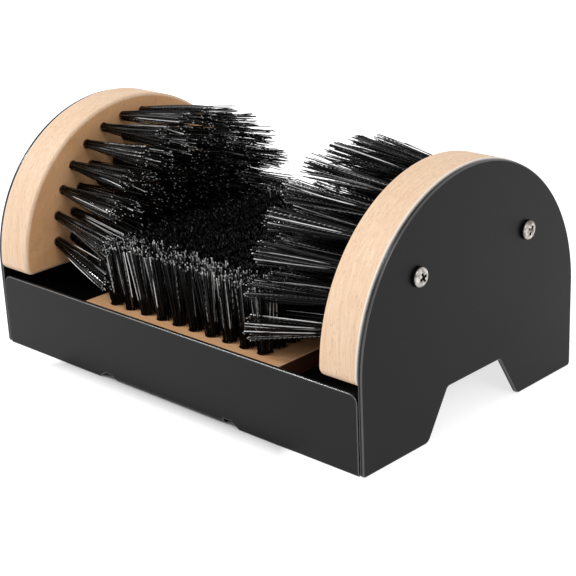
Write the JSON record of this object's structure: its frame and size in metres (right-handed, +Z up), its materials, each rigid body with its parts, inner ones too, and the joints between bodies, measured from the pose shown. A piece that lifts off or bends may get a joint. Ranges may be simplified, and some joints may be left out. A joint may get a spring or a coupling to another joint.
{
  "type": "boot scraper",
  "caption": "Boot scraper: a folded black steel tray between two arched end plates, with two half-round side brushes and a flat bottom brush on beech blocks.",
  "frame": {"origin": "on the ground, under the middle of the tray", "axes": "+X along the tray from the left end plate to the right one, +Y from the front panel to the back panel, +Z up"},
  "size_m": [0.2964, 0.1812, 0.1406],
  "materials": {
    "powder_coated_steel": "satin black powder coat",
    "beech": "plain sanded beech",
    "bristle": "black synthetic bristle, slightly glossy",
    "screw_metal": "bright plated pan head"
  },
  "bodies": {
    "root": {"left_end_plate": "powder_coated_steel", "right_end_plate": "powder_coated_steel", "front_panel": "powder_coated_steel", "back_panel": "powder_coated_steel", "tray_floor": "powder_coated_steel", "left_brush_block": "beech", "right_brush_block": "beech", "bottom_brush_block": "beech", "left_bristles": "bristle", "right_bristles": "bristle", "bottom_bristles": "bristle", "left_front_screw": "screw_metal", "left_back_screw": "screw_metal", "right_front_screw": "screw_metal", "right_back_screw": "screw_metal", "floor_screw_left_front": "screw_metal", "floor_screw_right_front": "screw_metal", "floor_screw_left_back": "screw_metal", "floor_screw_right_back": "screw_metal"}
  },
  "joints": []
}
